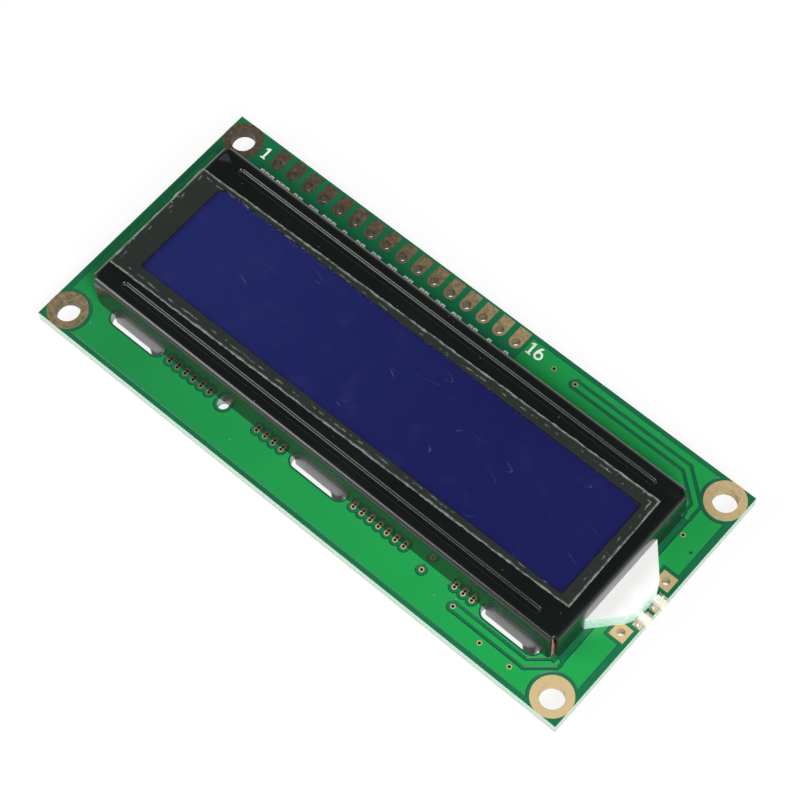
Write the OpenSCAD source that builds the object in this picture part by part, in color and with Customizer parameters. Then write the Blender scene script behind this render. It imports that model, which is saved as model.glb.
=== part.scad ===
// Character display module: two lines of sixteen characters, lit from one end.
// A green circuit board carries a black folded metal bezel that clamps the glass cell,
// the two rubber contact strips and the light guide. Display side up, +X towards the
// lamp end, +Y towards the sixteen-hole terminal row. Origin: middle of the four
// mounting holes, on the board's rear face. Sizes in millimetres.

/* [Board] */
// Length of the circuit board
board_length = 80; // [78:0.5:90]
// Width of the circuit board
board_width = 36; // [35:0.5:44]
// Thickness of the bare board
board_thickness = 1.6; // [0.8:0.1:2.4]
// Thickness of the copper and of every plated pad
copper_thickness = 0.05; // [0.03:0.01:0.1]
// Distance of a mounting hole's middle from each board edge
mount_inset = 2.5; // [2.5:0.1:3.5]
// Diameter of a mounting hole
mount_hole_d = 3.1; // [2:0.1:3.6]
// Outside diameter of the plated ring round a mounting hole
mount_ring_d = 5.1; // [4.2:0.1:6]

/* [Terminal row] */
// Number of terminal holes
pin_count = 16; // [8:1:18]
// Distance from one terminal hole to the next
pin_pitch = 2.54; // [2:0.01:2.8]
// Distance of the first terminal hole from the board's end
pin_first_inset = 8; // [7:0.1:12]
// Distance of the terminal row from the board's long edge
pin_row_inset = 2.25; // [1.5:0.05:2.5]
// Diameter of a terminal hole
pin_hole_d = 1.1; // [0.8:0.05:1.3]
// Width of a terminal pad
pin_pad_width = 1.74; // [1.4:0.01:1.9]
// Bare board left between a terminal pad and the long edge
pin_pad_edge = 0.3; // [0:0.05:1]

/* [Bezel] */
// Middle of the display along the board
display_x = -0.35; // [-1:0.05:0.5]
// Middle of the display across the board
display_y = -0.4; // [-1:0.05:0.2]
// Outside length of the bezel
bezel_length = 71; // [66:0.1:71.4]
// Outside width of the bezel
bezel_width = 24; // [23:0.1:24.6]
// Height of the bezel's face above the board
bezel_height = 6; // [5.8:0.1:9]
// Thickness of the sheet metal
sheet = 0.4; // [0.3:0.05:0.5]
// Inside radius of the folds
fold_inner_r = 0.3; // [0.1:0.05:0.5]
// Length of the opening over the characters
window_length = 64.2; // [58:0.1:65]
// Width of the opening over the characters
window_width = 14.1; // [12:0.1:14.6]
// Corner radius of the opening
window_corner_r = 1.1; // [0.5:0.1:3]
// Sideways play of the opening on the bezel
window_shift = 0.25; // [-0.5:0.05:0.5]
// Distance of a pressed groove's end from the bezel's end
groove_end = 3.6; // [2:0.1:10]
// Width of a pressed groove
groove_width = 1; // [0.6:0.1:1.4]
// Depth of a pressed groove
groove_depth = 0.3; // [0.2:0.05:0.35]
// Distance of a groove's middle line from the bezel's long side
groove_inset = 1.9; // [1.7:0.1:2.3]
// Radius at the lower corners of the walls
wall_corner_r = 0.8; // [0.2:0.1:1.5]

/* [Bezel tabs] */
// Distance between neighbouring tab slots
slot_pitch = 28.9; // [20:0.1:29.5]
// Length of a tab slot
slot_length = 8.4; // [8:0.1:10]
// Width of a tab slot
slot_width = 2.3; // [2.2:0.1:2.6]
// Play between a wall's leg and the ends of its slot
leg_play = 0.5; // [0.1:0.05:1]
// Width of a tab
tab_width = 3.2; // [2:0.1:3.3]
// Distance of a tab from the middle of its slot
tab_offset = 1.9; // [0:0.05:2]
// Length of a tab below the board
tab_below = 1.3; // [0.8:0.1:1.8]
// Twist of a tab at its end
tab_twist = 50; // [10:1:60]
// Steps of the twist
tab_steps = 6; // [3:1:8]

/* [Glass cell] */
// Thickness of one glass plate
glass_thickness = 1.1; // [0.7:0.05:1.15]
// Thickness of the liquid layer and its seal
cell_gap = 0.1; // [0.05:0.01:0.12]
// Play between the glass and the bezel's end walls
glass_play_x = 0.6; // [0.5:0.05:1.5]
// Play between the front glass and the bezel's side walls
glass_play_y = 0.1; // [0.05:0.05:0.5]
// Width of the front glass ledge that carries the contacts
contact_ledge = 2.4; // [2.2:0.1:3]
// Thickness of a polarising film
polariser_thickness = 0.2; // [0.1:0.05:0.22]
// Distance of a polarising film from the ends of the glass
polariser_inset_x = 1.25; // [0.5:0.05:2]
// Distance of a polarising film from the sides of the rear glass
polariser_inset_y = 0.9; // [0.3:0.05:1.8]
// Distance of the seal from the rear glass edge
seal_inset = 0.5; // [0.2:0.1:1]
// Width of the seal line
seal_width = 0.8; // [0.3:0.1:1.5]
// Width of the plugged filling port
end_seal_width = 5; // [3:0.1:8]
// How far the plug stands out of the glass edge
end_seal_depth = 0.35; // [0.2:0.05:0.45]

/* [Contact strips] */
// Width of a rubber contact strip
zebra_width = 1.8; // [1.2:0.1:1.9]
// Play at each end of a contact strip
zebra_end_play = 0.4; // [0.2:0.05:1.5]
// Side play between a contact strip and the bezel wall
zebra_play = 0.1; // [0.05:0.05:0.25]

/* [Backlight] */
// Thickness of the white film under the light guide
reflector_thickness = 0.1; // [0.05:0.05:0.3]
// Thickness of the light guide
guide_thickness = 2.4; // [1.5:0.1:2.5]
// Play between the light guide and a contact strip
guide_play = 0.5; // [0.2:0.05:1]
// How far the light guide's ends stay back from the glass ends
guide_end = 0.2; // [0:0.1:2]
// Middle of the horn and of the lamps across the board
horn_y = -0.65; // [-1.2:0.05:0]
// Half width of the horn where it leaves the bezel
horn_half_root = 6.4; // [4:0.1:7]
// Half width of the horn's tip
horn_half_tip = 1.9; // [1.9:0.1:3]
// How far the horn's shoulders stand back from its tip
horn_shoulder_x = 0.6; // [0.4:0.05:0.8]
// How far the horn's shoulders stand out sideways from its tip
horn_shoulder_y = 0.85; // [0.5:0.05:1.1]
// Distance of the horn's tip from the board's end
horn_tip_gap = 1; // [0.8:0.05:1.5]
// Length of the straight clear nose of the tip
horn_nose = 0.35; // [0.2:0.05:1]
// Thickness of the white film over the horn
cover_thickness = 0.08; // [0.05:0.01:0.15]
// Room between the horn and the notch in the bezel
notch_play = 0.15; // [0.05:0.05:0.4]

/* [Lamps] */
// Distance between the two lamps
lamp_pitch = 2.75; // [2.5:0.05:2.8]
// Width of a lamp body
lamp_width = 0.9; // [0.6:0.05:1]
// How far a lamp body stands past the board's end
lamp_overhang = 0.6; // [0.1:0.05:0.8]
// Height of a lamp body
lamp_height = 0.9; // [0.5:0.05:1.2]
// Distance between the two solder pads of a lamp
lamp_pad_pitch = 1.5; // [1.4:0.05:1.6]
// Width of a lamp's solder pad
lamp_pad_width = 0.8; // [0.6:0.05:1]
// Length of a lamp's solder pad
lamp_pad_length = 1.1; // [0.8:0.05:1.1]
// Thickness of a lamp lead
lamp_lead = 0.15; // [0.1:0.05:0.3]
// Width of a lamp lead
lamp_lead_width = 0.5; // [0.3:0.05:0.8]
// Radius of a solder joint
solder_r = 0.42; // [0.3:0.02:0.45]
// Size of the two square supply pads
supply_pad = 2; // [1.6:0.1:2.2]
// Distance of the supply pads from the board's end
supply_inset = 1.5; // [1.2:0.05:1.7]
// Half the distance between the supply pads
supply_half_pitch = 4.02; // [3.9:0.01:5]
// Diameter of a supply hole
supply_hole_d = 1; // [0.6:0.1:1.3]

/* [Copper] */
// Bare strip between the copper and the long edges
pour_edge_y = 0.65; // [0.3:0.05:0.9]
// Bare strip between the copper and the short edges
pour_edge_x = 0.9; // [0.3:0.05:1.2]
// Bare gap round rings, pads and slots
pour_gap = 0.45; // [0.2:0.05:0.5]
// Bare strip along the bezel's lamp-end wall
pour_wall_gap = 0.85; // [0.4:0.05:0.9]
// Width of the two earth tracks
track_width = 0.6; // [0.3:0.05:0.7]
// Hole of a via
via_hole_d = 0.4; // [0.2:0.02:0.5]
// Outside of a via ring
via_ring_d = 0.64; // [0.6:0.02:0.8]
// Distance between neighbouring vias
via_pitch = 1.27; // [1:0.01:1.35]
// Distance of the front row of vias from the bezel
via_row_gap = 0.2; // [0.1:0.05:0.6]
// Distance of the lone vias from the board's long edges
via_edge_inset = 2.1; // [1.8:0.05:2.4]
// Distance of the front earth track from the bezel
track_drop = 2.1; // [1.9:0.05:2.3]
// How far an earth track goes on past the bezel's corner before it turns in
track_past = 1.3; // [1:0.05:1.6]
// Distance of the lamp-end via from the board's end
end_via_inset = 1.55; // [1.3:0.05:1.7]
// Diameter of the locating hole in the front row
peg_hole_d = 1.5; // [1:0.1:1.8]

/* [Printed marks] */
// Thickness of the white print
print_thickness = 0.04; // [0.02:0.01:0.1]
// Height of a printed figure
figure_height = 1.65; // [1.2:0.05:1.9]
// Line width of a printed figure
figure_line = 0.28; // [0.2:0.01:0.34]
// Height of the small marks between the terminal row and the bezel
mark_height = 1.1; // [0.8:0.05:1.3]
// Distance of the small marks from the terminal pads
mark_gap = 0.83; // [0.4:0.01:1]

/* [Rear side] */
// Base diameter of a chip's black cover
blob_d = 16; // [10:0.5:17]
// Height of a chip's black cover
blob_height = 2; // [1.9:0.1:3]
// Distance of each chip cover from the middle
blob_x = 17; // [14:0.5:19]
// Length of a chip resistor
chip_length = 2; // [1:0.1:3.2]
// Width of a chip resistor
chip_width = 1.25; // [0.5:0.05:1.6]
// Height of a chip resistor
chip_height = 0.55; // [0.3:0.05:1]
// Length of one metal end of a chip part
chip_end = 0.4; // [0.2:0.05:0.8]

/* [Protective film] */
// How far the clear film reaches past the window, at each end
film_margin_x = 2.45; // [1:0.05:2.7]
// How far the clear film reaches past the window, at each side
film_margin_y = 1.2; // [0.5:0.05:1.45]
// Thickness of the clear film
film_thickness = 0.08; // [0.04:0.01:0.2]
// Turn of the film on the bezel
film_turn = 1; // [0:0.1:1.2]
// Shift of the film along the bezel
film_shift_x = -0.75; // [-1:0.05:1]
// Shift of the film across the bezel
film_shift_y = -0.1; // [-0.4:0.05:0.4]

/* [Hidden] */
$fn = 48;
eps = 0.01;
// heights, from the board's rear face upwards
z_board = board_thickness;
z_pad = z_board + copper_thickness;
z_face = z_board + bezel_height;
z_under = z_face - sheet;
z_glass_top = z_under - groove_depth;
z_front_glass = z_glass_top - glass_thickness;
z_cell = z_front_glass - cell_gap;
z_rear_glass = z_cell - glass_thickness;
z_rear_polariser = z_rear_glass - polariser_thickness;
z_guide = z_pad + reflector_thickness;
z_guide_top = z_guide + guide_thickness;
// mounting holes and terminal row
mount_spacing_x = board_length - 2 * mount_inset;
mount_spacing_y = board_width - 2 * mount_inset;
pin_first_x = -board_length / 2 + pin_first_inset;
pin_last_x = pin_first_x + (pin_count - 1) * pin_pitch;
pin_row_y = board_width / 2 - pin_row_inset;
pin_pad_foot = pin_row_y - pin_pad_width / 2;
// plan positions of the bezel
bezel_x0 = display_x - bezel_length / 2;
bezel_x1 = display_x + bezel_length / 2;
bezel_y0 = display_y - bezel_width / 2;
bezel_y1 = display_y + bezel_width / 2;
// the marks move up towards the pads where the bezel leaves them less room
mark_room = pin_pad_foot - bezel_y1 - mark_height;
mark_y = pin_pad_foot - min(mark_gap, mark_room / 2) - mark_height / 2;
fold_r = fold_inner_r + sheet;
wall_middle = bezel_width / 2 - sheet / 2;
groove_length = bezel_length - 2 * groove_end;
groove_y = bezel_width / 2 - groove_inset;
slot_xs = [-slot_pitch, 0, slot_pitch];
// what the bezel holds
glass_length = bezel_length - 2 * sheet - 2 * glass_play_x;
front_glass_width = bezel_width - 2 * sheet - 2 * glass_play_y;
rear_glass_width = front_glass_width - 2 * contact_ledge;
polariser_length = glass_length - 2 * polariser_inset_x;
polariser_width = rear_glass_width - 2 * polariser_inset_y;
seal_length = glass_length - 2 * seal_inset;
seal_span = rear_glass_width - 2 * seal_inset;
zebra_length = bezel_length - 2 * sheet - 2 * zebra_end_play;
zebra_middle = bezel_width / 2 - sheet - zebra_play - zebra_width / 2;
guide_length = glass_length - 2 * guide_end;
guide_width = 2 * (zebra_middle - zebra_width / 2 - guide_play);
notch_top = z_guide_top + cover_thickness + notch_play;
notch_half = horn_half_root + notch_play;
horn_root_x = display_x + guide_length / 2;
horn_tip_x = board_length / 2 - horn_tip_gap;
// lamp end of the board
lamp_ys = [horn_y - lamp_pitch / 2, horn_y + lamp_pitch / 2];
lamp_pad_x = board_length / 2 - lamp_pad_length / 2 - eps * 5;
supply_x = board_length / 2 - supply_inset;
supply_ys = [horn_y - supply_half_pitch, horn_y + supply_half_pitch];
// copper: start and number of each group in the front row of vias
pour_pin_x = pin_last_x + pin_pad_width / 2 + pour_gap;
via_groups = [[-23.5, 6], [-9.5, 4], [5.55, 7], [20.8, 3]];
via_row_y = bezel_y0 - via_row_gap;
via_rear_y = board_width / 2 - via_edge_inset;
via_front_y = -board_width / 2 + via_edge_inset;
track_rear_x = 15;
track_front_x = 22.2;
track_front_y = bezel_y0 - track_drop;
track_end_x = bezel_x1 + track_width / 4;
// vias that keep clear of the copper
via_clear = [[16.6, bezel_y0 - 1], [track_front_x, track_front_y], [track_rear_x, via_rear_y]];
// vias that are joined to the copper
via_joined = [[27.3, via_front_y], [31.65, via_front_y], [11.8, via_rear_y],
              [bezel_x1 + pour_wall_gap + pour_gap, 9.05]];
// via with the mask drawn over its ring
via_covered = [board_length / 2 - end_via_inset, 7.9];
peg_hole = [-14.85, via_row_y];
// the two earth tracks, from via to bezel corner
track_bend = 3.7;
track_rear = [[track_rear_x, via_rear_y], [track_end_x - track_bend, via_rear_y],
              [track_end_x, bezel_y1 + track_past], [track_end_x, bezel_y1 - sheet]];
track_front = [[track_front_x, track_front_y], [track_end_x - track_bend * 0.7, track_front_y],
               [track_end_x, bezel_y0 + 0.1], [track_end_x, bezel_y0 + sheet]];
// rear side: each cover is a cap of a ball, rubbed flat at the end
blob_cap = blob_height + 0.2;
blob_r = (pow(blob_d / 2, 2) + pow(blob_cap, 2)) / (2 * blob_cap);
resistor_spots = [[-10.5, 9], [-7.5, 9], [-4.5, 9], [-1.5, 9], [4.5, 9], [7.5, 9],
                  [10.5, 9], [supply_x - 5, supply_ys[0]], [supply_x - 5, supply_ys[1]]];
capacitor_spots = [[0, -8.5], [0, -4.8], [-29.5, 6]];
print_groups = [3, 3, 2, 2, 3, 1, 2, 2, 2, 2, 2, 2, 2, 2, 1, 1];

// Sub-part to build; "all" builds the whole module

// ---- shared outlines ----

module rounded_plan(size, r) {
    square([size[0] - 2 * r, size[1]], center = true);
    square([size[0], size[1] - 2 * r], center = true);
    for (sx = [-1, 1], sy = [-1, 1])
        translate([sx * (size[0] / 2 - r), sy * (size[1] / 2 - r)])
            circle(r = r);
}

module mounting_spots() {
    for (sx = [-1, 1], sy = [-1, 1])
        translate([sx * mount_spacing_x / 2, sy * mount_spacing_y / 2])
            children();
}

module pin_spots() {
    for (i = [0 : pin_count - 1])
        translate([pin_first_x + i * pin_pitch, pin_row_y])
            children();
}

module row_via_spots() {
    for (g = via_groups)
        for (i = [0 : g[1] - 1])
            translate([g[0] + i * via_pitch, via_row_y])
                children();
}

module spots(list) {
    for (p = list)
        translate(p)
            children();
}

module slot_plan(extra = 0) {
    for (side = [-1, 1], x = slot_xs)
        translate([x, display_y + side * wall_middle])
            slot_outline(slot_length + 2 * extra, slot_width + 2 * extra);
}

module slot_outline(length, width) {
    square([length - width, width], center = true);
    for (s = [-1, 1])
        translate([s * (length - width) / 2, 0])
            circle(d = width);
}

module board_plan() {
    square([board_length, board_width], center = true);
}

module track_plan(points, width) {
    for (i = [0 : len(points) - 2]) {
        run = points[i + 1] - points[i];
        translate(points[i])
            rotate(atan2(run[1], run[0]))
                translate([0, -width / 2])
                    square([norm(run), width]);
    }
    // each bend is a touch wider than the track
    for (p = points)
        translate(p)
            circle(d = width * 1.06, $fn = 24);
}

// ---- board ----

module circuit_board() {
    color("darkgreen")
        difference() {
            linear_extrude(board_thickness)
                board_plan();
            translate([0, 0, -eps])
                linear_extrude(board_thickness + 2 * eps) {
                    mounting_spots()
                        circle(d = mount_hole_d);
                    pin_spots()
                        circle(d = pin_hole_d, $fn = 24);
                    row_via_spots()
                        circle(d = via_hole_d, $fn = 32);
                    spots(via_clear)
                        circle(d = via_hole_d, $fn = 32);
                    spots(concat(via_joined, [via_covered]))
                        circle(d = via_hole_d, $fn = 32);
                    translate(peg_hole)
                        circle(d = peg_hole_d, $fn = 24);
                    for (y = supply_ys)
                        translate([supply_x, y])
                            circle(d = supply_hole_d, $fn = 24);
                    slot_plan();
                }
        }
}

module via_keepouts(joined_gap) {
    row_via_spots()
        circle(d = via_ring_d + 2 * pour_gap, $fn = 32);
    spots(via_joined)
        circle(d = via_ring_d + joined_gap, $fn = 32);
    translate(via_covered)
        circle(d = via_hole_d + joined_gap, $fn = 32);
    translate(peg_hole)
        circle(d = peg_hole_d + 2 * pour_gap, $fn = 32);
    mounting_spots()
        circle(d = mount_ring_d + 2 * pour_gap);
}

module pour_outline() {
    difference() {
        union() {
            translate([-board_length / 2 + pour_edge_x, -board_width / 2 + pour_edge_y])
                square([board_length - 2 * pour_edge_x,
                        board_width / 2 - pour_edge_y + bezel_y1 + pour_gap]);
            translate([pour_pin_x, 0])
                square([board_length / 2 - pour_edge_x - pour_pin_x, board_width / 2 - pour_edge_y]);
        }
        // the room taken by the display and its lamp-end wall
        translate([bezel_x0 + sheet, bezel_y0 + sheet])
            square([bezel_length - sheet + pour_wall_gap, bezel_width - 2 * sheet]);
        translate([bezel_x1 - sheet, bezel_y0 - pour_gap])
            square([sheet + pour_wall_gap, bezel_width + 2 * pour_gap]);
        via_keepouts(0);
        spots(via_clear)
            circle(d = via_ring_d + 2 * pour_gap, $fn = 32);
        slot_plan(pour_gap / 2);
        track_plan(track_rear, track_width + 2 * pour_gap);
        track_plan(track_front, track_width + 2 * pour_gap);
        // the strip of printed marks
        translate([-board_length / 2, mark_y - mark_height / 2])
            square([board_length / 2 + pour_pin_x, pin_pad_foot - mark_y + mark_height]);
        // bare ground round the horn's tip, the lamps and the supply pads
        for (y = supply_ys)
            translate([supply_x, y])
                square(supply_pad + 2 * pour_gap, center = true);
        translate([supply_x - supply_pad / 2, supply_ys[0]])
            square([supply_pad + pour_gap, supply_ys[1] - supply_ys[0]]);
    }
}

module tracks_outline() {
    difference() {
        union() {
            track_plan(track_rear, track_width);
            track_plan(track_front, track_width);
        }
        translate([bezel_x0, bezel_y0 + eps])
            square([bezel_length, bezel_width - 2 * eps]);
        spots(via_clear)
            circle(d = via_ring_d, $fn = 32);
        via_keepouts(0);
    }
}

module copper_pour() {
    color("green")
        translate([0, 0, z_board])
            linear_extrude(copper_thickness) {
                pour_outline();
                tracks_outline();
            }
}

module chip_keepout(spot) {
    translate(spot)
        square([chip_width + 2 * pour_gap, chip_length + 2 * pour_gap], center = true);
}

module rear_copper() {
    color("green")
        translate([0, 0, -copper_thickness])
            linear_extrude(copper_thickness)
                difference() {
                    translate([-board_length / 2 + pour_edge_x, -board_width / 2 + pour_edge_y])
                        square([board_length - 2 * pour_edge_x,
                                board_width - pour_edge_y - pin_row_inset - pin_pad_width / 2 - pour_gap]);
                    via_keepouts(pour_gap);
                    spots(via_clear)
                        circle(d = via_ring_d + pour_gap, $fn = 32);
                    slot_plan(pour_gap);
                    for (side = [-1, 1])
                        translate([side * blob_x, 0])
                            circle(d = blob_d + pour_gap);
                    for (spot = concat(resistor_spots, capacitor_spots))
                        chip_keepout(spot);
                    for (y = supply_ys)
                        translate([supply_x, y])
                            square(supply_pad + 2 * pour_gap, center = true);
                }
}

module both_faces() {
    translate([0, 0, z_board])
        linear_extrude(copper_thickness)
            children();
    translate([0, 0, -copper_thickness])
        linear_extrude(copper_thickness)
            children();
}

module mounting_rings() {
    color("tan")
        both_faces()
            difference() {
                intersection() {
                    mounting_spots()
                        circle(d = mount_ring_d);
                    board_plan();
                }
                mounting_spots()
                    circle(d = mount_hole_d);
            }
}

module terminal_pad() {
    difference() {
        union() {
            circle(d = pin_pad_width, $fn = 32);
            translate([-pin_pad_width / 2, 0])
                square([pin_pad_width, board_width / 2 - pin_pad_edge - pin_row_y]);
        }
        circle(d = pin_hole_d, $fn = 24);
    }
}

module terminal_pads() {
    color("tan")
        both_faces()
            pin_spots()
                terminal_pad();
}

module via_ring() {
    difference() {
        circle(d = via_ring_d, $fn = 32);
        circle(d = via_hole_d, $fn = 32);
    }
}

module via_rings() {
    color("gold")
        both_faces() {
            row_via_spots()
                via_ring();
            spots(via_clear)
                via_ring();
            spots(via_joined)
                via_ring();
        }
}

module supply_pads() {
    color("tan")
        both_faces()
            for (y = supply_ys)
                translate([supply_x, y])
                    difference() {
                        square(supply_pad, center = true);
                        circle(d = supply_hole_d, $fn = 24);
                    }
}

module lamp_pads() {
    color("gold")
        translate([lamp_pad_x, 0, z_board + copper_thickness / 2])
            for (y = lamp_ys, s = [-1, 1])
                translate([0, y + s * lamp_pad_pitch / 2, 0])
                    cube([lamp_pad_length, lamp_pad_width, copper_thickness], center = true);
}

// ---- printed marks ----

module figure_one() {
    translate([-figure_line / 2, 0])
        square([figure_line, figure_height]);
    translate([-figure_line * 1.3, 0])
        square([figure_line * 2.6, figure_line * 0.6]);
    translate([-figure_line * 1.3, figure_height - figure_line * 1.4])
        rotate(40)
            square([figure_line * 1.4, figure_line * 0.6]);
}

module figure_six() {
    loop_d = figure_height * 0.7;
    arc_r = figure_height * 1.1;
    translate([0, loop_d / 2])
        difference() {
            circle(d = loop_d, $fn = 24);
            circle(d = loop_d - 2 * figure_line * 0.9, $fn = 24);
        }
    intersection() {
        translate([arc_r - loop_d / 2, loop_d / 2])
            difference() {
                circle(r = arc_r, $fn = 48);
                circle(r = arc_r - figure_line, $fn = 48);
            }
        translate([-loop_d / 2, loop_d / 2])
            square([loop_d, figure_height - loop_d / 2]);
    }
}

module pin_numbers() {
    figure_shift = pin_pad_width + figure_line;
    figure_step = figure_height * 0.72;
    color("white") {
        translate([pin_first_x - figure_shift, pin_row_y - figure_height * 0.38, z_board])
            linear_extrude(print_thickness)
                figure_one();
        // the last number stands on the copper
        translate([pin_last_x + figure_shift, pin_row_y - figure_height * 0.2, z_pad])
            linear_extrude(print_thickness) {
                figure_one();
                translate([figure_step, 0])
                    figure_six();
            }
    }
}

module pin_marks() {
    mark_w = mark_height * 0.55;
    mark_step = mark_w * 1.25;
    color("white")
        translate([0, 0, z_board])
            linear_extrude(print_thickness)
                for (i = [0 : pin_count - 1])
                    for (k = [0 : print_groups[i] - 1])
                        translate([pin_first_x + i * pin_pitch
                                   + (k - (print_groups[i] - 1) / 2) * mark_step, mark_y])
                            difference() {
                                square([mark_w, mark_height], center = true);
                                square([mark_w - 0.36, mark_height - 0.36], center = true);
                            }
}

// ---- display stack ----

module contact_strip(side) {
    color("pink")
        translate([display_x, display_y + side * zebra_middle, (z_board + z_front_glass) / 2])
            cube([zebra_length, zebra_width, z_front_glass - z_board], center = true);
}

module front_contact_strip() {
    contact_strip(-1);
}

module rear_contact_strip() {
    contact_strip(1);
}

module plate(length, width, z, thickness) {
    translate([display_x, display_y, z + thickness / 2])
        cube([length, width, thickness], center = true);
}

module front_glass() {
    color("midnightblue")
        plate(glass_length, front_glass_width, z_front_glass, glass_thickness);
}

module rear_glass() {
    color("midnightblue")
        plate(glass_length, rear_glass_width, z_rear_glass, glass_thickness);
}

module cell_seal() {
    color("dimgray")
        difference() {
            plate(seal_length, seal_span, z_cell, cell_gap);
            translate([0, 0, -eps])
                plate(seal_length - 2 * seal_width, seal_span - 2 * seal_width,
                      z_cell, cell_gap + 2 * eps);
        }
}

module liquid_layer() {
    color("navy")
        plate(seal_length - 2 * seal_width, seal_span - 2 * seal_width, z_cell, cell_gap);
}

module end_seal() {
    // a flat bead over the joint of the two plates, round at both ends
    round_y = end_seal_width / 2 - end_seal_depth;
    color("ivory")
        translate([display_x - glass_length / 2, display_y, z_rear_glass + glass_thickness / 2])
            linear_extrude(glass_thickness)
                difference() {
                    union() {
                        square([2 * end_seal_depth, 2 * round_y], center = true);
                        for (s = [-1, 1])
                            translate([0, s * round_y])
                                circle(r = end_seal_depth, $fn = 32);
                    }
                    translate([0, -end_seal_width])
                        square([end_seal_width, 2 * end_seal_width]);
                }
}

module front_polariser() {
    color("midnightblue")
        plate(polariser_length, polariser_width, z_glass_top, polariser_thickness);
}

module rear_polariser() {
    color("slategray")
        plate(polariser_length, polariser_width, z_rear_polariser, polariser_thickness);
}

// ---- backlight ----

module horn_plan(inset = 0) {
    polygon([[horn_root_x - eps, horn_y - horn_half_root],
             [bezel_x1, horn_y - horn_half_root],
             [horn_tip_x - horn_shoulder_x, horn_y - horn_half_tip - horn_shoulder_y],
             [horn_tip_x - horn_nose / 2, horn_y - horn_half_tip],
             [horn_tip_x - inset, horn_y - horn_half_tip + horn_nose],
             [horn_tip_x - inset, horn_y + horn_half_tip - horn_nose],
             [horn_tip_x - horn_nose / 2, horn_y + horn_half_tip],
             [horn_tip_x - horn_shoulder_x, horn_y + horn_half_tip + horn_shoulder_y],
             [bezel_x1, horn_y + horn_half_root],
             [horn_root_x - eps, horn_y + horn_half_root]]);
}

module reflector_film() {
    color("white")
        translate([0, 0, z_pad])
            linear_extrude(reflector_thickness) {
                translate([display_x, display_y])
                    square([guide_length, guide_width], center = true);
                horn_plan(horn_nose / 2);
            }
}

module light_guide() {
    color("honeydew")
        translate([0, 0, z_guide])
            linear_extrude(guide_thickness) {
                translate([display_x, display_y])
                    square([guide_length, guide_width], center = true);
                horn_plan();
            }
}

module diffuser_film() {
    color("white")
        plate(guide_length, guide_width, z_guide_top, z_rear_polariser - z_guide_top);
}

module horn_cover() {
    color("white")
        translate([0, 0, z_guide_top])
            linear_extrude(cover_thickness)
                difference() {
                    horn_plan(horn_nose / 2);
                    square([2 * (horn_root_x + eps), board_width], center = true);
                }
}

module lamp_plan() {
    translate([horn_tip_x, -lamp_width / 2])
        square([board_length / 2 + lamp_overhang - lamp_width / 2 - horn_tip_x, lamp_width]);
    translate([board_length / 2 + lamp_overhang - lamp_width / 2, 0])
        circle(d = lamp_width, $fn = 32);
}

module lamps() {
    color("floralwhite")
        for (y = lamp_ys)
            translate([0, y, z_pad + lamp_lead])
                linear_extrude(lamp_height)
                    lamp_plan();
}

module lamp_leads() {
    color("silver")
        for (y = lamp_ys)
            translate([lamp_pad_x, y, z_pad + lamp_lead / 2])
                cube([lamp_lead_width, lamp_pad_pitch + lamp_pad_width * 0.6, lamp_lead],
                     center = true);
}

module solder_joints() {
    color("silver")
        for (y = lamp_ys, s = [-1, 1])
            translate([lamp_pad_x, y + s * (lamp_pad_pitch / 2 + lamp_pad_width * 0.15), z_pad + lamp_lead])
                intersection() {
                    sphere(r = solder_r * 0.66, $fn = 48);
                    translate([0, 0, solder_r])
                        cube(2 * solder_r, center = true);
                }
}

// ---- bezel ----

module fold_profile(height) {
    // wall and quarter fold, drawn with the wall's outer face at zero and the part inside at +x
    translate([0, 0])
        square([sheet, height - fold_r]);
    translate([fold_r, height - fold_r])
        intersection() {
            difference() {
                circle(r = fold_r, $fn = 48);
                circle(r = fold_inner_r, $fn = 48);
            }
            translate([-fold_r, 0])
                square([fold_r, fold_r]);
        }
}

module folded_wall(length) {
    // a wall along +x, outer face at y = 0, with the inside towards +y
    difference() {
        translate([-length / 2, 0, 0])
            rotate([90, 0, 90])
                linear_extrude(length)
                    fold_profile(z_face - z_pad);
        for (s = [-1, 1])
            translate([s * length / 2, 0, 0])
                lower_corner_cut(s);
    }
}

module lower_corner_cut(s) {
    difference() {
        translate([-s * wall_corner_r / 2 + s * eps, sheet / 2, wall_corner_r / 2 - eps])
            cube([wall_corner_r + eps, sheet * 3, wall_corner_r + eps], center = true);
        translate([-s * wall_corner_r, sheet / 2, wall_corner_r])
            rotate([90, 0, 0])
                cylinder(r = wall_corner_r, h = sheet * 4, center = true, $fn = 32);
    }
}

module tab_slice(z_low, z_high, turn) {
    translate([0, 0, (z_low - eps + z_high) / 2])
        rotate(turn)
            cube([tab_width, sheet, z_high - z_low + eps], center = true);
}

module bezel_tab() {
    // a leg that stands in the slot, and under the board a tab twisted to lock the bezel
    step = tab_below / tab_steps;
    translate([-slot_length / 2 + leg_play, -sheet / 2, -eps])
        cube([slot_length - 2 * leg_play, sheet, z_pad + sheet + eps]);
    translate([tab_offset, 0, 0])
        for (i = [0 : tab_steps - 1])
            tab_slice(-(i + 1) * step, -i * step, tab_twist * (i + 0.5) / tab_steps);
}

module bezel_face() {
    difference() {
        plate(bezel_length - 2 * fold_r, bezel_width - 2 * fold_r, z_under, sheet);
        translate([display_x + window_shift, display_y, z_under - eps])
            linear_extrude(sheet + 2 * eps)
                rounded_plan([window_length, window_width], window_corner_r);
        for (side = [-1, 1])
            translate([display_x, display_y + side * groove_y, z_face - groove_depth])
                linear_extrude(groove_depth + eps)
                    slot_outline(groove_length, groove_width);
    }
    // the sheet pressed down under each groove
    for (side = [-1, 1])
        translate([display_x, display_y + side * groove_y, z_under - groove_depth])
            linear_extrude(groove_depth + eps)
                slot_outline(groove_length + sheet, groove_width + sheet);
}

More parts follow.
